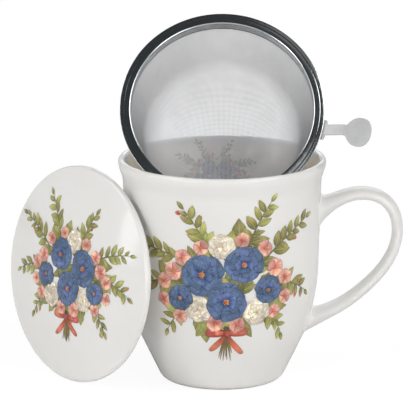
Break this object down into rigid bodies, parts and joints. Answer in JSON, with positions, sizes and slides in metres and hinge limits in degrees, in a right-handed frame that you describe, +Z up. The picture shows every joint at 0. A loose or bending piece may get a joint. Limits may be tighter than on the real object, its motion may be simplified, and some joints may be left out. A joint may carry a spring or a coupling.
{
  "type": "tea mug with lid and infuser",
  "caption": "Waisted porcelain mug with an ear handle, a domed disc lid leaning on its side, and a round-bottomed mesh infuser with a finger tab tipped in its mouth.",
  "frame": {"origin": "on the mug's axis, in the plane of its foot ring", "axes": "+Z up along the mug's axis; +X from the axis towards the handle; -Y towards the open side of the tipped infuser"},
  "size_m": [0.1794, 0.0942, 0.1655],
  "materials": {
    "porcelain": "glossy white glaze with a printed garland of blossoms and leaves",
    "rim_steel": "polished stainless steel",
    "mesh_steel": "fine woven stainless mesh",
    "tab_steel": "satin stainless steel"
  },
  "bodies": {
    "mug": {"mug_body": "porcelain", "mug_handle": "porcelain"},
    "infuser": {"infuser_rim": "rim_steel", "infuser_mesh": "mesh_steel", "crimp_band": "rim_steel", "infuser_tab": "tab_steel"},
    "lid": {"lid": "porcelain"}
  },
  "joints": [
    {"name": "infuser_lift", "type": "slide", "parent": "mug", "child": "infuser", "axis": [0, 0, 1], "range_m": [0, 0.08]},
    {"name": "lid_lift", "type": "slide", "parent": "mug", "child": "lid", "axis": [-0.5409, -0.4555, 0.7071], "range_m": [0, 0.11]}
  ]
}
